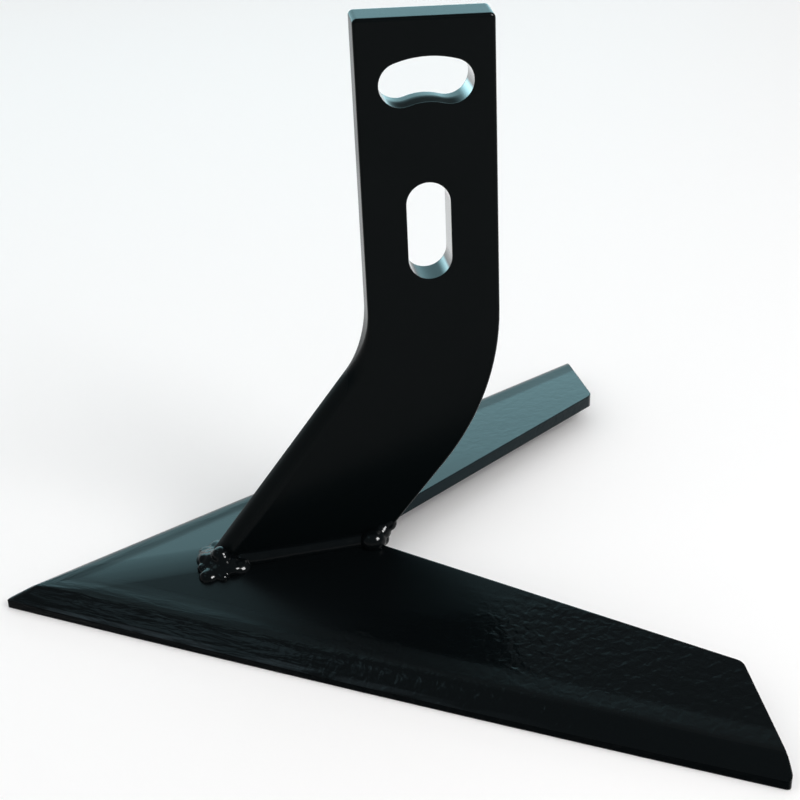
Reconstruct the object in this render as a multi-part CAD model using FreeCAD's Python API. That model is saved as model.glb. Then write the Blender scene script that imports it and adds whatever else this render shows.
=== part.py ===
import FreeCAD, Part
import math
import os
from FreeCAD import Vector

# Duckfoot sweep for a spring or rigid cultivator tine, in millimetres.
# X runs across the sweep, the point looks towards -Y, and the cutting edges lie on Z = 0.
# The origin is under the middle of the overall length.

# Blade in plan
blade_length = 211.8
wing_span = 252.4
inner_span = 168.1
crotch_setback = 102.3
edge_bow = 0.9
point_radius = 0.8
wing_heel_radius = 1.2
wing_shoulder_radius = 4.0
crotch_radius = 6.0

# Blade in section, measured square to a cutting edge
plate_thickness = 4.5
wing_slope = 7.4
lip_slope = 42.0
lip_width = 5.0
lip_blend_radius = 9.0
blunt_height = 2.8
ground_land = 1.0

# Rounding of the crown line, of the nose in front of it and of the corner underneath
crown_radius = 78.0
nose_radius = 3.0
valley_radius = 20.0
crown_ease_ratio = 0.2
nose_ease_ratio = 0.125

# Shank, a flat bar on edge whose lower run is bent forward, with its leading edge there forged round
shank_width = 40.0
shank_thickness = 10.0
shank_height = 181.1
foot_overhang = 10.88
shank_lean = 0.95
end_skew_angle = 1.8
end_break_angle = 4.0
end_corner_radius = 1.5
bend_height = 81.5
lower_rake_angle = 37.1
bend_inner_radius = 34.0
leading_edge_flat = 0.8
heel_height = 62.2
heel_rake_angle = 38.5
heel_radius = 80.0
shank_edge_radius = 1.0

# Slots for two bolts of 12 mm
slot_width = 13.0
upper_slot_drop = 18.5
upper_slot_chord = 14.3
upper_slot_curve = 23.0
lower_slot_drop = 63.7
lower_slot_length = 30.0
lower_slot_offset = 0.6

# Weld metal round the foot
side_weld_leg = 4.0
side_weld_bulge = 0.3
front_weld_reach = 5.6
front_weld_setback = 4.6
front_weld_height = 4.4
rear_weld_reach = 8.0
rear_weld_radius = 3.6
rear_weld_end_taper = 2.2
rear_weld_sink = 0.6

# Cutting solids run past the metal by this much, and metal that is cut to a seat starts this deep
overrun = 60.0
root_cover = 1.5

# Points nearer than this are one point, and the angle of the V settles to it in this many steps
tolerance = 0.0001
settling_steps = 20

half_length = blade_length / 2
half_span = wing_span / 2
half_shank = shank_thickness / 2
wing_rise = math.tan(math.radians(wing_slope))
lip_rise = math.tan(math.radians(lip_slope))
lip_height = blunt_height + lip_width * lip_rise


def edge_half_angle():
    """Half the angle of the V and the y of its sharp tip, with the rounded point at the front."""
    angle = math.atan2(half_span, blade_length)
    for step in range(settling_steps):
        sharp_tip = half_length + point_radius * (1 / math.sin(angle) - 1)
        angle = math.atan2(half_span, half_length + sharp_tip)
    return angle, -sharp_tip


half_angle, tip_y = edge_half_angle()
tip = Vector(0, tip_y, 0)
heel_corner = Vector(half_span, half_length, 0)
shoulder_corner = Vector(inner_span / 2, half_length, 0)
crotch_corner = Vector(0, half_length - crotch_setback, 0)
along_edge = Vector(math.sin(half_angle), math.cos(half_angle), 0)
inward = Vector(-math.cos(half_angle), math.sin(half_angle), 0)
edge_length = (heel_corner - tip).Length


def wing_top(inset):
    """Height of the wing's upper face at a distance in from the cutting edge."""
    return lip_height + (inset - lip_width) * wing_rise


def wing_underside(inset):
    return wing_top(inset) - plate_thickness / math.cos(math.radians(wing_slope))


def crown_top(y):
    """Height of the sharp crown line, where the two upper faces meet."""
    return wing_top((y - tip_y) * math.sin(half_angle))


def crown_direction(rise):
    """Direction of the line where two faces of this rise meet over the middle plane."""
    angle = math.atan(rise * math.sin(half_angle))
    return Vector(0, math.cos(angle), math.sin(angle))


def side_slope(rise):
    """Fall of a face to one side of its crown line, square to that line."""
    return math.atan(rise * math.cos(half_angle) * crown_direction(rise).y)


def line(start, end):
    return Part.LineSegment(start, end).toShape()


def arc(start, middle, end):
    return Part.Arc(start, middle, end).toShape()


def face_of(edges):
    return Part.Face(Part.Wire(edges))


def mirrored(point):
    return Vector(-point.x, point.y, point.z)


def mirror_copy(shape):
    return shape.mirror(Vector(0, 0, 0), Vector(1, 0, 0))


def main_piece(shape):
    """The largest solid left by a cut."""
    return max(shape.Solids, key=lambda solid: solid.Volume)


def upper_piece(shape):
    """The highest solid left by a cut."""
    return max(shape.Solids, key=lambda solid: solid.CenterOfMass.z)


def edges_at(shape, corner, along):
    """Edges whose ends both lie on a line through corner that runs in the direction along."""
    found = []
    for edge in shape.Edges:
        ends = [vertex.Point for vertex in edge.Vertexes]
        if all((end - corner).cross(along).Length < tolerance for end in ends):
            found.append(edge)
    return found


def wing_profile(origin):
    """Section of a wing: ground lip, bent edge and flat plate, drawn at origin."""
    def place(inset, height):
        return origin + inward * inset + Vector(0, 0, height)

    steep = math.radians(lip_slope)
    gentle = math.radians(wing_slope)
    middle = (steep + gentle) / 2
    reach = lip_blend_radius * math.tan((steep - gentle) / 2)
    blend_low = (lip_width - reach * math.cos(steep), lip_height - reach * math.sin(steep))
    blend_high = (lip_width + reach * math.cos(gentle), lip_height + reach * math.sin(gentle))
    centre_inset = blend_low[0] + lip_blend_radius * math.sin(steep)
    centre_height = blend_low[1] - lip_blend_radius * math.cos(steep)
    blend_middle = (
        centre_inset - lip_blend_radius * math.sin(middle),
        centre_height + lip_blend_radius * math.cos(middle),
    )
    fold_inset = (wing_underside(0) + ground_land * lip_rise) / (lip_rise - wing_rise)
    deep = half_span * math.cos(half_angle)
    corners = [
        blend_high,
        (deep, wing_top(deep)),
        (deep, wing_underside(deep)),
        (fold_inset, wing_underside(fold_inset)),
        (ground_land, 0),
        (-blunt_height / lip_rise, 0),
        blend_low,
    ]
    points = [place(*corner) for corner in corners]
    edges = [line(start, end) for start, end in zip(points, points[1:])]
    edges.append(arc(place(*blend_low), place(*blend_middle), place(*blend_high)))
    return face_of(edges)


def crown_trimmer(base, rise, radius, ease):
    """Solid that rounds a crown line with an arc, which stops a little short of tangent."""
    across = Vector(1, 0, 0)
    direction = crown_direction(rise)
    upward = across.cross(direction)
    slope = side_slope(rise)
    contact = slope * (1 - ease)
    half_width = radius * math.sin(contact)
    centre_drop = half_width * math.tan(slope) + radius * math.cos(contact)
    past = radius * math.sin(slope)
    past_drop = centre_drop - radius * math.cos(slope)
    start = base - direction * blade_length

    def place(side, drop):
        return start + across * side - upward * drop

    low_right = place(past, past_drop)
    low_left = place(-past, past_drop)
    high_right = place(past, -past)
    high_left = place(-past, -past)
    edges = [
        arc(low_left, place(0, centre_drop - radius), low_right),
        line(low_right, high_right),
        line(high_right, high_left),
        line(high_left, low_left),
    ]
    return face_of(edges).extrude(direction * (2 * blade_length))


def pressed_plate():
    """The V of plate as pressed, before its outline is cut."""
    wing = wing_profile(tip - along_edge * overrun).extrude(along_edge * (edge_length + 2 * overrun))
    reach = blade_length + overrun
    right_half = Part.makeBox(wing_span, 2 * reach, 2 * overrun, Vector(0, -reach, -overrun))
    right_wing = wing.common(right_half)
    plate = main_piece(right_wing.fuse(mirror_copy(right_wing)).removeSplitter())
    plate = plate.makeFillet(valley_radius, [valley_edge(plate)])
    crown = crown_trimmer(Vector(0, tip_y, crown_top(tip_y)), wing_rise, crown_radius, crown_ease_ratio)
    nose = crown_trimmer(Vector(0, tip_y, blunt_height), lip_rise, nose_radius, nose_ease_ratio)
    return main_piece(plate.cut(crown).cut(nose))


def valley_edge(plate):
    """The long inner corner under the crown."""
    under = []
    for edge in plate.Edges:
        middle = edge.CenterOfMass
        below_crown = middle.z < crown_top(middle.y) - plate_thickness / 2
        if abs(middle.x) < tolerance and below_crown:
            under.append(edge)
    return max(under, key=lambda edge: edge.Length)


def blade_outline():
    """Upright solid with the blade's outline in plan."""
    side = along_edge.cross(Vector(0, 0, 1))
    bow_point = (tip + heel_corner) * 0.5 + side * edge_bow
    edges = [
        arc(tip, bow_point, heel_corner),
        line(heel_corner, shoulder_corner),
        line(shoulder_corner, crotch_corner),
        line(crotch_corner, mirrored(shoulder_corner)),
        line(mirrored(shoulder_corner), mirrored(heel_corner)),
        arc(mirrored(heel_corner), mirrored(bow_point), tip),
    ]
    prism = face_of(edges).extrude(Vector(0, 0, 2 * overrun))
    prism.translate(Vector(0, 0, -overrun))
    rounded = [
        (tip, point_radius),
        (heel_corner, wing_heel_radius),
        (mirrored(heel_corner), wing_heel_radius),
        (shoulder_corner, wing_shoulder_radius),
        (mirrored(shoulder_corner), wing_shoulder_radius),
        (crotch_corner, crotch_radius),
    ]
    for corner, radius in rounded:
        prism = prism.makeFillet(radius, edges_at(prism, corner, Vector(0, 0, 1)))
    return prism


# Directions in the shank's own plane: down its upper run and square across it
lean = math.radians(shank_lean)
down_shank = Vector(0, math.sin(lean), -math.cos(lean))
across_shank = Vector(0, math.cos(lean), math.sin(lean))


def raked(degrees):
    """Direction down and forward at a rake from the upright."""
    return Vector(0, -math.sin(math.radians(degrees)), -math.cos(math.radians(degrees)))


def at_height(start, direction, height):
    """Point of a line at a height."""
    return start + direction * ((height - start.z) / direction.z)


def meet_crown(start, direction, cover):
    """Point where a line meets the crown line, sunk by cover."""
    fall = start.z - (crown_top(start.y) - cover)
    return start + direction * (fall / (wing_rise * math.sin(half_angle) * direction.y - direction.z))


# The foot ends a little behind the crotch of the V, and the bar stands up from there
foot_rear = crotch_corner + Vector(0, foot_overhang, crown_top(crotch_corner.y + foot_overhang))
heel_point = at_height(foot_rear, raked(heel_rake_angle), heel_height)
front_top = at_height(heel_point - across_shank * shank_width, down_shank, shank_height)
bend_corner = at_height(front_top, down_shank, bend_height)
foot_front = meet_crown(bend_corner, raked(lower_rake_angle), 0)


def on_shank(across, down):
    """Point of the upper run, from the front corner of its end."""
    return front_top + across_shank * across + down_shank * down


def shank_blank():
    """Flat bar with its bend and its rounded edges, before the slots."""
    toe = meet_crown(bend_corner, raked(lower_rake_angle), root_cover)
    root = meet_crown(heel_point, raked(heel_rake_angle), root_cover)
    corners = [on_shank(0, -overrun), on_shank(shank_width, -overrun), heel_point, root, toe, bend_corner]
    outline = [line(start, end) for start, end in zip(corners, corners[1:] + corners[:1])]
    bar = face_of(outline).extrude(Vector(shank_thickness, 0, 0))
    bar.translate(Vector(-half_shank, 0, 0))
    across_bar = Vector(1, 0, 0)
    bar = bar.makeFillet(bend_inner_radius, edges_at(bar, bend_corner, across_bar))
    bar = bar.makeFillet(heel_radius, edges_at(bar, heel_point, across_bar))
    bar = main_piece(bar.cut(cropped_off()))
    near_end = front_top.z - shank_thickness
    end_corners = [edge for edge in bar.Edges if crosses_bar(edge) and edge.CenterOfMass.z > near_end]
    return with_round_rim(bar.makeFillet(end_corner_radius, end_corners))


def cropped_off():
    """What the shear takes off the end of the bar, which leaves it a little out of square both ways."""
    rearward = across_shank + down_shank * math.tan(math.radians(end_skew_angle))
    rightward = Vector(1, 0, -math.tan(math.radians(end_break_angle)))
    reach = 2 * shank_width
    corners = [
        front_top - rearward * reach - rightward * reach,
        front_top + rearward * reach - rightward * reach,
        front_top + rearward * reach + rightward * reach,
        front_top - rearward * reach + rightward * reach,
    ]
    edges = [line(start, end) for start, end in zip(corners, corners[1:] + corners[:1])]
    return face_of(edges).extrude(-down_shank * (2 * overrun))


def crosses_bar(edge):
    """True for an edge that runs from one broad face to the other."""
    ends = [vertex.Point for vertex in edge.Vertexes]
    return ends[0].x * ends[1].x < 0


def rims_a_broad_face(edge):
    """True for the rim of either broad face, apart from the foot."""
    ends = [vertex.Point for vertex in edge.Vertexes]
    on_face = all(abs(abs(end.x) - half_shank) < tolerance for end in ends)
    at_foot = all(end.z < crown_top(end.y) for end in ends)
    return on_face and not crosses_bar(edge) and not at_foot


def with_round_rim(bar):
    """Rounds the rim of both broad faces: a little all round, nearly to a half round on the leading edge."""
    leading_radius = (shank_thickness - leading_edge_flat) / 2
    drawing = FreeCAD.newDocument()
    plain = drawing.addObject("Part::Feature", "plain")
    plain.Shape = bar
    rounded = drawing.addObject("Part::Fillet", "rounded")
    rounded.Base = plain
    plan = []
    for number, edge in enumerate(bar.Edges, 1):
        if not rims_a_broad_face(edge):
            continue
        ends = [edge.valueAt(edge.FirstParameter), edge.valueAt(edge.LastParameter)]
        plan.append((number, *[rim_radius(end, leading_radius) for end in ends]))
    rounded.Edges = plan
    drawing.recompute()
    shape = rounded.Shape.copy()
    FreeCAD.closeDocument(drawing.Name)
    return shape


def rim_radius(point, leading_radius):
    """Radius of the rim at this point of it, larger from where the bend ends down the leading edge."""
    along = raked(lower_rake_angle)
    offset = Vector(0, point.y, point.z) - Vector(0, bend_corner.y, bend_corner.z)
    leading = offset.cross(along).Length < tolerance and offset.dot(along) > tolerance
    return leading_radius if leading else shank_edge_radius


def with_clamped_run(bar):
    """The same bar, its straight run that a holder clamps marked off a little above both curves."""
    curve_tops = []
    for corner, rake, radius in (
        (heel_point, heel_rake_angle, heel_radius),
        (bend_corner, lower_rake_angle, bend_inner_radius),
    ):
        turn = math.radians(rake + shank_lean)
        curve_tops.append(corner.z + radius * math.tan(turn / 2) * math.cos(lean))
    run = Part.makeBox(shank_thickness, 2 * overrun, shank_height)
    run.translate(Vector(-half_shank, heel_point.y - overrun, max(curve_tops) + shank_edge_radius))
    return main_piece(bar.common(run).fuse(bar.cut(run)))


def upper_slot():
    """Curved slot that sets the pitch: an arc of slot width, bowed upwards."""
    centre = on_shank(shank_width / 2, upper_slot_drop + upper_slot_curve)
    swing = math.asin(upper_slot_chord / 2 / upper_slot_curve)
    half_width = slot_width / 2
    outer = upper_slot_curve + half_width
    inner = upper_slot_curve - half_width

    def polar(angle, radius):
        return centre + across_shank * (radius * math.sin(angle)) - down_shank * (radius * math.cos(angle))

    def end_cap(angle, turn):
        onward = across_shank * math.cos(angle) + down_shank * math.sin(angle)
        return polar(angle, upper_slot_curve) + onward * (half_width * turn)

    return through_bar([
        arc(polar(-swing, outer), polar(0, outer), polar(swing, outer)),
        arc(polar(swing, outer), end_cap(swing, 1), polar(swing, inner)),
        arc(polar(swing, inner), polar(0, inner), polar(-swing, inner)),
        arc(polar(-swing, inner), end_cap(-swing, -1), polar(-swing, outer)),
    ])


def lower_slot():
    """Straight slot along the bar."""
    middle = shank_width / 2 - lower_slot_offset
    half_width = slot_width / 2
    half_run = (lower_slot_length - slot_width) / 2
    high = lower_slot_drop - half_run
    low = lower_slot_drop + half_run
    left = middle - half_width
    right = middle + half_width
    return through_bar([
        line(on_shank(right, high), on_shank(right, low)),
        arc(on_shank(right, low), on_shank(middle, low + half_width), on_shank(left, low)),
        line(on_shank(left, low), on_shank(left, high)),
        arc(on_shank(left, high), on_shank(middle, high - half_width), on_shank(right, high)),
    ])


def through_bar(edges):
    cutter = face_of(edges).extrude(Vector(2 * shank_thickness, 0, 0))
    cutter.translate(Vector(-shank_thickness, 0, 0))
    return cutter


def front_weld(plate, shank):
    """Domed weld that wraps the front of the foot."""
    reach = front_weld_reach + front_weld_setback
    dome = (reach ** 2 + front_weld_height ** 2) / (2 * front_weld_height)
    middle = Vector(0, foot_front.y + front_weld_setback, 0)
    middle.z = crown_top(middle.y) + front_weld_height - dome
    ball = Part.makeSphere(dome, middle)
    return upper_piece(ball.cut(plate).cut(shank))


def rear_weld(blade, shank):
    """Round bead of weld across the crotch, under and behind the foot."""
    left = foot_rear - Vector(rear_weld_reach, rear_weld_radius, rear_weld_sink)
    bead = Part.makeCylinder(rear_weld_radius, 2 * rear_weld_reach, left, Vector(1, 0, 0))
    rims = [edge for edge in bead.Edges if edge.Closed and abs(edge.CenterOfMass.z - left.z) < tolerance]
    bead = bead.makeChamfer(rear_weld_end_taper, rims)
    return main_piece(bead.cut(blade).cut(shank))


def side_weld(blade, shank, outline, neighbours):
    """Fillet weld along the right of the foot, from the front weld to the crotch."""
    direction = crown_direction(wing_rise)
    upward = Vector(0, -direction.z, direction.y)

    def place(side, height):
        return foot_front + Vector(side, 0, 0) + upward * height

    toe = half_shank + side_weld_leg
    toe_height = -toe * math.tan(side_slope(wing_rise))
    throat = (half_shank + toe) / 2 + side_weld_bulge
    throat_height = (side_weld_leg + toe_height) / 2 + side_weld_bulge
    root_height = toe_height - root_cover
    root = half_shank - root_cover
    edges = [
        arc(place(half_shank, side_weld_leg), place(throat, throat_height), place(toe, toe_height)),
        line(place(toe, toe_height), place(toe, root_height)),
        line(place(toe, root_height), place(root, root_height)),
        line(place(root, root_height), place(root, side_weld_leg)),
        line(place(root, side_weld_leg), place(half_shank, side_weld_leg)),
    ]
    run = (foot_rear - foot_front).Length
    bead = face_of(edges).extrude(direction * run)
    bead = bead.cut(blade).cut(shank).common(outline)
    for neighbour in neighbours:
        bead = bead.cut(neighbour)
    return main_piece(bead)


plate = pressed_plate()
outline = blade_outline()
sweep_blade = main_piece(plate.common(outline))

shank = main_piece(with_clamped_run(shank_blank()).cut(plate))
shank = main_piece(shank.cut(upper_slot()).cut(lower_slot()))

front_bead = front_weld(plate, shank)
rear_bead = rear_weld(sweep_blade, shank)
right_bead = side_weld(sweep_blade, shank, outline, [front_bead, rear_bead])

nodes = {
    "sweep_blade": sweep_blade,
    "shank": shank,
    "front_weld": front_bead,
    "rear_weld": rear_bead,
    "left_weld": mirror_copy(right_bead),
    "right_weld": right_bead,
}

os.makedirs("parts", exist_ok=True)
for name, shape in nodes.items():
    shape.exportStep("parts/" + name + ".step")
    print(name, "valid", shape.isValid(), "volume", round(shape.Volume), "mm3")
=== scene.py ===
import math

import bpy
from mathutils import Matrix, Vector


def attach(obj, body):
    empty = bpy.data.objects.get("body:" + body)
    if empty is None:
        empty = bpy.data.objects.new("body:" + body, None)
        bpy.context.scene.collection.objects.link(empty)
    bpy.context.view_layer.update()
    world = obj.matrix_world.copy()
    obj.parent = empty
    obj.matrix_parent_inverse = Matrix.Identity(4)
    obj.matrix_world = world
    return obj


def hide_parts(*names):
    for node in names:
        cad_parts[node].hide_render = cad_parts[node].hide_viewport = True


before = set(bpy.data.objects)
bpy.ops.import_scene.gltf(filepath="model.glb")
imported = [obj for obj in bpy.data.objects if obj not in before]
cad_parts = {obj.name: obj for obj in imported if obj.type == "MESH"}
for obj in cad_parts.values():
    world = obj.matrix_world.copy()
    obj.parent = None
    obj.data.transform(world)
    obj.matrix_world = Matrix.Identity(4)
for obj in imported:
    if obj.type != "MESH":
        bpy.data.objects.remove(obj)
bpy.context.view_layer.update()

print("frame loaded:", sorted(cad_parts))


# selection and modifiers

def clearSelection():
    if bpy.context.object and bpy.context.object.mode != "OBJECT":
        bpy.ops.object.mode_set(mode="OBJECT")
    bpy.ops.object.select_all(action="DESELECT")


def makeActive(piece):
    clearSelection()
    piece.select_set(True)
    bpy.context.view_layer.objects.active = piece


def applyModifiers(piece):
    makeActive(piece)
    for modifier in list(piece.modifiers):
        bpy.ops.object.modifier_apply(modifier=modifier.name)


# node helpers, which take sockets or plain values

noiseMiddle = 0.5
# places of the sockets that the mix node uses for colours
mixSockets = {"factor": 0, "first": 6, "second": 7, "result": 2}


def setInput(tree, node, key, value):
    if isinstance(value, bpy.types.NodeSocket):
        tree.links.new(value, node.inputs[key])
    else:
        node.inputs[key].default_value = value


def addNode(tree, kind, inputs=None, **settings):
    node = tree.nodes.new(kind)
    for key, value in settings.items():
        setattr(node, key, value)
    for key, value in (inputs or {}).items():
        setInput(tree, node, key, value)
    return node


def mathNode(tree, operation, first, second=0.0, third=0.0, clamp=False):
    values = {0: first, 1: second, 2: third}
    return addNode(tree, "ShaderNodeMath", values, operation=operation, use_clamp=clamp).outputs[0]


def product(tree, *values):
    result = values[0]
    for value in values[1:]:
        result = mathNode(tree, "MULTIPLY", result, value)
    return result


def total(tree, *values):
    result = values[0]
    for value in values[1:]:
        result = mathNode(tree, "ADD", result, value)
    return result


def rampNode(tree, value, low, high):
    # eases from 0 at low to 1 at high, also where low is the larger
    start, end = sorted((low, high))
    bounds = (0.0, 1.0) if low < high else (1.0, 0.0)
    node = addNode(tree, "ShaderNodeMapRange", {
        "Value": value, "From Min": start, "From Max": end, "To Min": bounds[0], "To Max": bounds[1]},
        interpolation_type="SMOOTHSTEP")
    return node.outputs["Result"]


def mixColour(tree, factor, first, second):
    values = {mixSockets["factor"]: factor, mixSockets["first"]: first, mixSockets["second"]: second}
    return addNode(tree, "ShaderNodeMix", values, data_type="RGBA").outputs[mixSockets["result"]]


def noiseNode(tree, vector, scale, detail=2.0, roughness=0.5, distortion=0.0):
    node = addNode(tree, "ShaderNodeTexNoise", {
        "Vector": vector, "Scale": scale, "Detail": detail, "Roughness": roughness, "Distortion": distortion})
    return node.outputs["Fac"]


def axesOf(tree, vector):
    return addNode(tree, "ShaderNodeSeparateXYZ", {0: vector}).outputs


def facingAlong(tree, axis):
    # how far the surface's normal lies along the axis, from 0 to 1
    normal = addNode(tree, "ShaderNodeNewGeometry").outputs["Normal"]
    return mathNode(tree, "ABSOLUTE", axesOf(tree, normal)[axis])


# camera

camera = {
    "position": (0.43237, -0.03875, 0.28830),
    "yaw": 7.9135,
    "pitch": 27.5295,
    "roll": -1.6078,
    "lens": 71.55,
    "sensor": 36,
    "nearest": 0.01,
}


def setCamera():
    yaw, pitch, roll = (math.radians(camera[key]) for key in ("yaw", "pitch", "roll"))
    lookWay = Vector((-math.cos(yaw) * math.cos(pitch), math.sin(yaw) * math.cos(pitch), -math.sin(pitch)))
    level = lookWay.cross(Vector((0, 0, 1))).normalized()
    upright = level.cross(lookWay)
    rightWay = level * math.cos(roll) + upright * math.sin(roll)
    upWay = upright * math.cos(roll) - level * math.sin(roll)
    data = bpy.data.cameras.new("photoCamera")
    data.lens = camera["lens"]
    data.sensor_width = camera["sensor"]
    data.clip_start = camera["nearest"]
    photoCamera = bpy.data.objects.new("photoCamera", data)
    bpy.context.scene.collection.objects.link(photoCamera)
    turn = Matrix((rightWay, upWay, -lookWay)).transposed()
    photoCamera.matrix_world = Matrix.Translation(Vector(camera["position"])) @ turn.to_4x4()
    bpy.context.scene.camera = photoCamera
    bpy.context.scene.view_settings.view_transform = "Standard"


setCamera()
print("camera set")


# studio

studio = {
    "floorSize": 8.0,
    "floorDrop": 0.0002,
    "floorColour": (0.97, 0.97, 0.97, 1),
    "floorRoughness": 0.7,
    "floorSpecular": 0.1,
    "worldLight": (0.80, 0.795, 0.795, 1),
    "backdropLow": (0.80, 0.80, 0.80, 1),
    "backdropHigh": (0.34, 0.40, 0.43, 1),
    "backdropRise": (0.0, 0.26),
}

# a lamp that is only shine shows in the gloss of the paint and lights nothing else
lamps = {
    "backPanel": {
        "place": (-0.95, -0.08, 0.62), "aim": (0.0, -0.08, 0.62), "size": (1.2, 1.24),
        "power": 15.0, "colour": (0.46, 0.90, 1.0), "onlyShine": True,
        "feather": {"left": 0.08, "right": 0.16, "bottom": 0.15, "top": 0.60}},
    "highBox": {
        "place": (-0.60, -0.55, 1.36), "aim": (0.0, -0.02, 0.0), "size": (0.6, 0.9),
        "power": 3.3, "colour": (0.56, 0.93, 1.0), "onlyShine": True,
        "feather": {"left": 0.3, "right": 0.3, "bottom": 0.3, "top": 0.3}},
    "fillBox": {
        "place": (0.75, 0.75, 1.0), "aim": (0.0, 0.03, 0.0), "size": (0.7, 0.7),
        "power": 11.0, "colour": (1.0, 0.985, 0.98), "onlyShine": False,
        "feather": {"left": 0.2, "right": 0.2, "bottom": 0.2, "top": 0.2}},
    "leftBox": {
        "place": (0.2, -0.85, 1.15), "aim": (0.0, 0.0, 0.05), "size": (0.45, 0.45),
        "power": 1.5, "colour": (0.55, 0.88, 1.0), "onlyShine": True,
        "feather": {"left": 0.3, "right": 0.3, "bottom": 0.3, "top": 0.3}},
    "glint": {
        "place": (0.71, 0.84, 0.95), "aim": (0.0, -0.03, 0.02), "size": (0.55, 0.55),
        "power": 90.0, "colour": (1.0, 1.0, 1.0), "onlyShine": True,
        "feather": {"left": 0.2, "right": 0.2, "bottom": 0.2, "top": 0.2}},
}


def layFloor():
    clearSelection()
    bpy.ops.mesh.primitive_plane_add(size=studio["floorSize"], location=(0, 0, -studio["floorDrop"]))
    floor = bpy.context.object
    floor.name = "floor"
    floor.data.name = "floor"
    material = bpy.data.materials.new("palePaper")
    material.use_nodes = True
    shader = material.node_tree.nodes["Principled BSDF"]
    shader.inputs["Base Color"].default_value = studio["floorColour"]
    shader.inputs["Roughness"].default_value = studio["floorRoughness"]
    shader.inputs["Specular IOR Level"].default_value = studio["floorSpecular"]
    floor.data.materials.append(material)


def hangBackdrop():
    # what the camera and the gloss see is another colour than what lights the floor
    world = bpy.data.worlds.new("studioWorld")
    world.use_nodes = True
    bpy.context.scene.world = world
    tree = world.node_tree
    background = tree.nodes["Background"]
    rays = addNode(tree, "ShaderNodeLightPath")
    seen = total(tree, rays.outputs["Is Camera Ray"], rays.outputs["Is Glossy Ray"])
    seen = mathNode(tree, "ADD", seen, rays.outputs["Is Transmission Ray"], clamp=True)
    heading = addNode(tree, "ShaderNodeTexCoord").outputs["Generated"]
    rise = rampNode(tree, axesOf(tree, heading)["Z"], *studio["backdropRise"])
    backdrop = mixColour(tree, rise, studio["backdropLow"], studio["backdropHigh"])
    tree.links.new(mixColour(tree, seen, studio["worldLight"], backdrop), background.inputs["Color"])


def hangLamp(name, box):
    data = bpy.data.lights.new(name, "AREA")
    data.shape = "RECTANGLE"
    data.size, data.size_y = box["size"]
    data.energy = box["power"]
    data.color = box["colour"]
    data.use_nodes = True
    # the cloth of the box is brightest in the middle and fades at its rim
    tree = data.node_tree
    across = axesOf(tree, addNode(tree, "ShaderNodeNewGeometry").outputs["Parametric"])
    feather = box["feather"]
    fades = [
        rampNode(tree, across["X"], 0.0, feather["left"]),
        rampNode(tree, across["X"], 1.0, 1.0 - feather["right"]),
        rampNode(tree, across["Y"], 0.0, feather["bottom"]),
        rampNode(tree, across["Y"], 1.0, 1.0 - feather["top"]),
    ]
    tree.links.new(product(tree, *fades), tree.nodes["Emission"].inputs["Strength"])
    lamp = bpy.data.objects.new(name, data)
    bpy.context.scene.collection.objects.link(lamp)
    lamp.location = box["place"]
    lamp.rotation_euler = (Vector(box["aim"]) - Vector(box["place"])).to_track_quat("-Z", "Y").to_euler()
    lamp.visible_diffuse = not box["onlyShine"]


layFloor()
hangBackdrop()
for lampName, lampBox in lamps.items():
    hangLamp(lampName, lampBox)
print("studio built")


# blade, whose slopes the welds and the paint both follow, in degrees and metres

bladeShape = {
    "halfAngle": 30.7,
    "tipY": -0.10667,
    "planeHeight": 0.00665,
    "rise": 0.12988,
}
edgeSine = math.sin(math.radians(bladeShape["halfAngle"]))
edgeCosine = math.cos(math.radians(bladeShape["halfAngle"]))


def wingTop(x, y):
    # height of the blade's upper face
    inset = (y - bladeShape["tipY"]) * edgeSine - abs(x) * edgeCosine
    return bladeShape["planeHeight"] + inset * bladeShape["rise"]


# welds, from lumps of metal: x, y, height over the blade and radius in millimetres, then flatness

perMetre = 1000
weldSkin = {"lumpDetail": 4, "voxel": 0.00035, "settle": 0.6}

frontWeldShape = {
    "lumps": [
        (5.0, -36.6, 0.0, 6.0, 0.62), (1.0, -41.0, -0.6, 4.8, 0.62), (-4.2, -36.8, -0.8, 4.6, 0.60),
        (7.2, -32.4, -0.4, 4.4, 0.70), (-5.8, -31.6, -0.4, 3.6, 0.80), (7.4, -38.6, -0.4, 4.8, 0.70),
        (4.0, -39.6, 0.8, 4.2, 0.80), (8.0, -34.6, 0.4, 3.8, 0.75),
        (5.2, -37.9, 3.5, 3.0, 1.0), (7.2, -36.9, 1.7, 2.8, 1.0), (9.9, -42.2, -0.5, 3.2, 0.9),
        (7.4, -33.9, 1.8, 1.7, 1.0), (7.5, -30.9, 0.7, 1.9, 1.0), (11.4, -37.9, 0.0, 2.0, 0.9),
        (6.0, -40.8, 1.3, 2.1, 1.0), (6.1, -43.7, 0.3, 2.0, 0.9), (2.6, -42.6, 0.6, 2.8, 0.9),
        (-2.4, -42.0, -0.2, 3.0, 0.7), (-5.6, -38.6, -0.1, 3.0, 0.7), (-6.8, -34.4, -0.2, 2.9, 0.7)],
    "settleRounds": 12,
    "lumpiness": 0.0003,
    "lumpScale": 0.0030,
}
sideWeldShape = {
    "start": -31.0, "step": 0.8, "count": 56, "out": 4.7,
    "lift": 0.2, "radius": 3.1, "flatness": 1.0, "sway": 0.07, "swayLength": 7.0,
    "settleRounds": 10,
    "lumpiness": 0.0003,
    "lumpScale": 0.0060,
}
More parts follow.
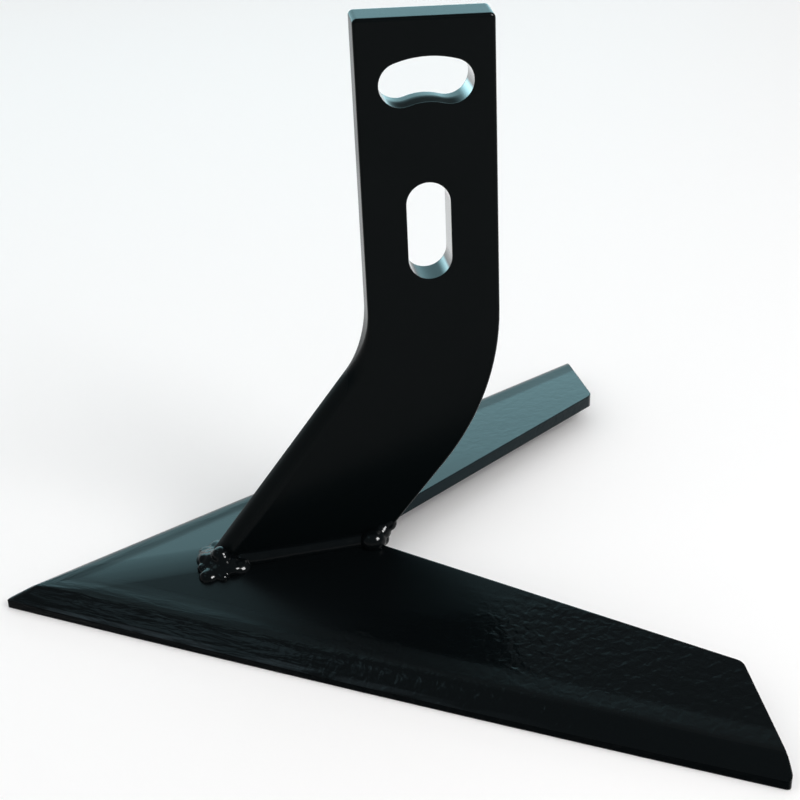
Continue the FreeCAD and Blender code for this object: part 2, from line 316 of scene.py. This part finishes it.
rearWeldShape = {
    "lumps": [
        (6.6, 10.6, 1.2, 4.2, 0.9), (4.2, 13.6, 2.2, 2.9, 1.1), (3.2, 16.4, 4.2, 2.4, 1.1),
        (3.0, 12.6, -1.0, 3.5, 0.9), (0.0, 11.6, -1.4, 3.6, 0.9), (-3.0, 12.0, -1.0, 3.5, 0.9),
        (-6.2, 12.0, 0.4, 3.2, 1.0), (-4.8, 14.2, 2.0, 2.7, 1.0),
        (1.5, 14.4, 0.2, 2.8, 0.9), (-1.8, 14.0, -0.2, 2.7, 0.9)],
    "settleRounds": 10,
    "lumpiness": 0.0002,
    "lumpScale": 0.0032,
}


def addLump(x, y, lift, radius, flatness):
    clearSelection()
    place = (x / perMetre, y / perMetre, wingTop(x / perMetre, y / perMetre) + lift / perMetre)
    size = (radius / perMetre, radius / perMetre, radius * flatness / perMetre)
    bpy.ops.mesh.primitive_ico_sphere_add(
        subdivisions=weldSkin["lumpDetail"], radius=1, location=place, scale=size)
    return bpy.context.object


def weldFromLumps(name, lumps, shape, nodes):
    made = [addLump(*lump) for lump in lumps]
    clearSelection()
    for lump in made:
        lump.select_set(True)
    bpy.context.view_layer.objects.active = made[0]
    bpy.ops.object.join()
    weld = bpy.context.object
    weld.name = name
    weld.data.name = name
    bpy.ops.object.transform_apply(location=True, rotation=True, scale=True)
    skin = weld.modifiers.new("oneSkin", "REMESH")
    skin.mode = "VOXEL"
    skin.voxel_size = weldSkin["voxel"]
    settled = weld.modifiers.new("settled", "SMOOTH")
    settled.factor = weldSkin["settle"]
    settled.iterations = shape["settleRounds"]
    clouds = bpy.data.textures.new(name + "Lumps", "CLOUDS")
    clouds.noise_scale = shape["lumpScale"]
    lumpy = weld.modifiers.new("lumpy", "DISPLACE")
    lumpy.texture = clouds
    lumpy.texture_coords = "LOCAL"
    lumpy.strength = shape["lumpiness"]
    applyModifiers(weld)
    bpy.ops.object.shade_smooth()
    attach(weld, "root")
    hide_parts(*nodes)
    return weld


def sideLumps(side):
    run = sideWeldShape
    lumps = []
    for k in range(run["count"]):
        y = run["start"] + run["step"] * k
        sway = run["sway"] * math.sin(y * 2 * math.pi / run["swayLength"])
        lumps.append((side * (run["out"] + sway), y, run["lift"], run["radius"] + sway, run["flatness"]))
    return lumps


weldPieces = [
    weldFromLumps("frontWeld", frontWeldShape["lumps"], frontWeldShape, ["front_weld"]),
    weldFromLumps("rightWeld", sideLumps(1), sideWeldShape, ["right_weld"]),
    weldFromLumps("leftWeld", sideLumps(-1), sideWeldShape, ["left_weld"]),
    weldFromLumps("rearWeld", rearWeldShape["lumps"], rearWeldShape, ["rear_weld"]),
]
print("welds laid")


# paint, one film on all the metal, which each material sets to its own values

filmSettings = {
    "colour": "NodeSocketColor", "darkColour": "NodeSocketColor",
    "patchScale": "NodeSocketFloat", "patchDetail": "NodeSocketFloat",
    "roughLow": "NodeSocketFloat", "roughHigh": "NodeSocketFloat",
    "peelScale": "NodeSocketFloat", "peelHeight": "NodeSocketFloat",
}
filmResults = {"colour": "NodeSocketColor", "roughness": "NodeSocketFloat", "height": "NodeSocketFloat"}


def makePaintFilm():
    group = bpy.data.node_groups.new("paintFilm", "ShaderNodeTree")
    group.interface.new_socket(name="place", in_out="INPUT", socket_type="NodeSocketVector")
    for name, kind in filmSettings.items():
        group.interface.new_socket(name=name, in_out="INPUT", socket_type=kind)
    for name, kind in filmResults.items():
        group.interface.new_socket(name=name, in_out="OUTPUT", socket_type=kind)
    given = addNode(group, "NodeGroupInput").outputs
    patch = noiseNode(group, given["place"], given["patchScale"], detail=given["patchDetail"])
    peel = noiseNode(group, given["place"], given["peelScale"])
    spread = mathNode(group, "SUBTRACT", given["roughHigh"], given["roughLow"])
    addNode(group, "NodeGroupOutput", {
        "colour": mixColour(group, patch, given["colour"], given["darkColour"]),
        "roughness": mathNode(group, "MULTIPLY_ADD", patch, spread, given["roughLow"]),
        "height": mathNode(group, "MULTIPLY", peel, given["peelHeight"])})
    return group


paintFilm = makePaintFilm()


def newPaint(name, settings):
    material = bpy.data.materials.new(name)
    material.use_nodes = True
    tree = material.node_tree
    shader = tree.nodes["Principled BSDF"]
    shader.inputs["Specular IOR Level"].default_value = settings["specular"]
    place = addNode(tree, "ShaderNodeTexCoord").outputs["Object"]
    film = addNode(tree, "ShaderNodeGroup", node_tree=paintFilm)
    setInput(tree, film, "place", place)
    for key in filmSettings:
        setInput(tree, film, key, settings[key])
    tree.links.new(film.outputs["colour"], shader.inputs["Base Color"])
    tree.links.new(film.outputs["roughness"], shader.inputs["Roughness"])
    return material, tree, shader, place, film


edgeSamples = 6


def raiseSurface(tree, shader, height, edgeRound=0.0):
    bump = addNode(tree, "ShaderNodeBump", {"Height": height, "Strength": 1.0, "Distance": 1.0})
    if edgeRound:
        rounded = addNode(tree, "ShaderNodeBevel", {"Radius": edgeRound}, samples=edgeSamples)
        tree.links.new(rounded.outputs[0], bump.inputs["Normal"])
    tree.links.new(bump.outputs[0], shader.inputs["Normal"])


# paint of the blade, where each pair says at which distance or slope a mask is 0, and at which it is 1

bladePaint = {
    "colour": (0.0020, 0.0030, 0.0034, 1), "darkColour": (0.0014, 0.0022, 0.0026, 1),
    "patchScale": 60.0, "patchDetail": 3.0,
    "roughLow": 0.12, "roughHigh": 0.19, "peelScale": 900.0, "peelHeight": 0.000008,
    "crownRoughness": 0.10,
    "specular": 0.08,
    "edgeRound": 0.0005,
    "wobbleScale": 160.0, "wobble": 0.010,
    "lipInset": (0.0135, 0.0060), "lipFade": (0.125, 0.095), "lipStretch": 0.16, "lipHeight": 0.00034,
    "hammer": {"scale": 380.0, "detail": 3.0, "roughness": 0.55, "distortion": 0.35},
    "bendFrom": (0.0150, 0.0115), "bendTo": (0.0050, 0.0070), "bendWobble": 0.3, "bendRoughness": 0.22,
    "wrinkle": {"scale": 340.0, "detail": 1.5, "distortion": 0.5},
    "wrinkleFrom": (0.034, 0.056), "wrinkleHeight": 0.00021,
    "rightFrom": (-0.01, 0.01), "leftWrinkles": 0.35,
    # the next values paint a lighter teal line along the cutting edge, a painted highlight
    "edgeHighlightColour": (0.014, 0.019, 0.022, 1), "edgeHighlightInset": (0.0007, 0.0003), "edgeHighlightFade": (0.20, 0.03),
    "edgeHighlightScale": 420.0, "edgeHighlightPatch": (0.35, 0.6),
    "shearedSlope": (0.45, 0.25), "bluedFrom": (0.002, 0.006), "bluedColour": (0.003, 0.011, 0.014, 1),
}


def bladeMaterial():
    paint = bladePaint
    material, tree, shader, place, film = newPaint("bladeBlackPaint", paint)
    axes = axesOf(tree, place)
    side = mathNode(tree, "ABSOLUTE", axes["X"])
    behindTip = mathNode(tree, "SUBTRACT", axes["Y"], bladeShape["tipY"])
    # distances in from the cutting edge and along it
    inset = mathNode(tree, "SUBTRACT", product(tree, behindTip, edgeSine), product(tree, side, edgeCosine))
    along = total(tree, product(tree, behindTip, edgeCosine), product(tree, side, edgeSine))
    edgeway = addNode(tree, "ShaderNodeCombineXYZ", {"X": inset, "Y": along, "Z": axes["Z"]}).outputs[0]
    stretched = addNode(tree, "ShaderNodeVectorMath", {
        0: edgeway, 1: (1.0, paint["lipStretch"], 1.0)}, operation="MULTIPLY").outputs[0]
    wobble = noiseNode(tree, stretched, paint["wobbleScale"])
    wobble = product(tree, mathNode(tree, "SUBTRACT", wobble, noiseMiddle), paint["wobble"])

    # the lip is hammered, and the wings are wrinkled, the left one less
    lip = rampNode(tree, total(tree, inset, wobble), *paint["lipInset"])
    hammer = noiseNode(tree, stretched, **paint["hammer"])
    hammered = product(tree, hammer, lip, rampNode(tree, along, *paint["lipFade"]), paint["lipHeight"])
    wing = rampNode(tree, total(tree, side, wobble, wobble), *paint["wrinkleFrom"])
    wrinkle = noiseNode(tree, place, **paint["wrinkle"])
    right = rampNode(tree, axes["X"], *paint["rightFrom"])
    share = mathNode(tree, "MULTIPLY_ADD", right, 1.0 - paint["leftWrinkles"], paint["leftWrinkles"])
    wrinkled = product(tree, wrinkle, wing, share, paint["wrinkleHeight"])
    raiseSurface(tree, shader, total(tree, hammered, wrinkled, film.outputs["height"]), paint["edgeRound"])

    # the paint is duller round the crown, where it lies thin, and in the bend, where it has run together
    crown = mathNode(tree, "SUBTRACT", 1.0, mathNode(tree, "MAXIMUM", wing, lip))
    wavering = total(tree, inset, product(tree, wobble, paint["bendWobble"]))
    bend = product(
        tree, rampNode(tree, wavering, *paint["bendFrom"]), rampNode(tree, wavering, *paint["bendTo"]))
    rough = total(
        tree, film.outputs["roughness"], product(tree, crown, paint["crownRoughness"]),
        product(tree, bend, paint["bendRoughness"]))
    tree.links.new(rough, shader.inputs["Roughness"])

    # the sheared edges are bare steel, blued at the rear and black along the ground front edge
    sheared = rampNode(tree, facingAlong(tree, "Z"), *paint["shearedSlope"])
    blued = product(tree, sheared, rampNode(tree, inset, *paint["bluedFrom"]))
    tree.links.new(sheared, shader.inputs["Metallic"])

    # a lighter teal line, broken into patches, is painted along the cutting edge: a painted highlight where
    # the edge catches the light
    highlightPatches = rampNode(tree, noiseNode(tree, stretched, paint["edgeHighlightScale"]), *paint["edgeHighlightPatch"])
    painted = mathNode(tree, "SUBTRACT", 1.0, sheared)
    paintedEdgeHighlight = product(
        tree, rampNode(tree, inset, *paint["edgeHighlightInset"]), rampNode(tree, along, *paint["edgeHighlightFade"]),
        highlightPatches, painted)
    # the painted highlight line is mixed into the paint's colour here
    coloured = mixColour(tree, paintedEdgeHighlight, film.outputs["colour"], paint["edgeHighlightColour"])
    tree.links.new(mixColour(tree, blued, coloured, paint["bluedColour"]), shader.inputs["Base Color"])
    return material


# paint of the shank, worn off the side walls of its slots

shankPaint = {
    "colour": (0.0017, 0.0029, 0.0032, 1), "darkColour": (0.0010, 0.0020, 0.0023, 1),
    "patchScale": 40.0, "patchDetail": 3.0,
    "roughLow": 0.16, "roughHigh": 0.26, "peelScale": 900.0, "peelHeight": 0.000006,
    "specular": 0.05,
    "edgeRound": 0.0003,
    "waveScale": 45.0, "waveHeight": 0.00006,
    "midLine": 0.0307, "slotReach": (0.0165, 0.0150), "slotInside": (0.0049, 0.0046), "slotSteep": (0.5, 0.9),
    "humpReach": (0.0120, 0.0070), "humpFloor": (0.1500, 0.1520), "humpTop": (0.1640, 0.1620),
    "humpDepth": (-0.0030, 0.0015), "humpRoughness": 0.7,
    "stripFrom": (0.0060, 0.0030), "stripSteep": (0.2, 0.7), "stripRoughness": 0.35,
}


def shankMaterial():
    paint = shankPaint
    material, tree, shader, place, film = newPaint("shankBlackPaint", paint)
    wave = product(tree, noiseNode(tree, place, paint["waveScale"]), paint["waveHeight"])
    raiseSurface(tree, shader, total(tree, wave, film.outputs["height"]), paint["edgeRound"])

    # bolts have rubbed the side walls of the slots smooth
    axes = axesOf(tree, place)
    sideways = facingAlong(tree, "Y")
    inside = rampNode(tree, mathNode(tree, "ABSOLUTE", axes["X"]), *paint["slotInside"])
    offMiddle = mathNode(tree, "ABSOLUTE", mathNode(tree, "SUBTRACT", axes["Y"], paint["midLine"]))
    nearMiddle = rampNode(tree, offMiddle, *paint["slotReach"])
    rubbed = product(tree, inside, nearMiddle, rampNode(tree, sideways, *paint["slotSteep"]))
    tree.links.new(rubbed, shader.inputs["Coat Weight"])
    tree.links.new(rubbed, shader.inputs["Metallic"])

    # the hump in the curved slot and the front strip are rougher
    hump = product(
        tree, inside, rampNode(tree, offMiddle, *paint["humpReach"]),
        rampNode(tree, axes["Z"], *paint["humpFloor"]), rampNode(tree, axes["Z"], *paint["humpTop"]),
        rampNode(tree, axes["X"], *paint["humpDepth"]), paint["humpRoughness"])
    strip = product(
        tree, rampNode(tree, axes["Y"], *paint["stripFrom"]),
        rampNode(tree, sideways, *paint["stripSteep"]), paint["stripRoughness"])
    tree.links.new(total(tree, film.outputs["roughness"], hump, strip), shader.inputs["Roughness"])
    return material


# paint of the welds

weldPaint = {
    "colour": (0.0024, 0.0034, 0.0038, 1), "darkColour": (0.0014, 0.0022, 0.0026, 1),
    "patchScale": 120.0, "patchDetail": 3.0,
    "roughLow": 0.08, "roughHigh": 0.16, "peelScale": 700.0, "peelHeight": 0.00001,
    "specular": 0.08,
}


def weldMaterial():
    material, tree, shader, _, film = newPaint("weldBlackPaint", weldPaint)
    raiseSurface(tree, shader, film.outputs["height"])
    return material


def dress(piece, material):
    piece.data.materials.clear()
    piece.data.materials.append(material)


dress(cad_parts["sweep_blade"], bladeMaterial())
dress(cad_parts["shank"], shankMaterial())
weldBlack = weldMaterial()
for weldNode in ("front_weld", "rear_weld", "left_weld", "right_weld"):
    dress(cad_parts[weldNode], weldBlack)
for weldPiece in weldPieces:
    dress(weldPiece, weldBlack)
print("paint mixed")
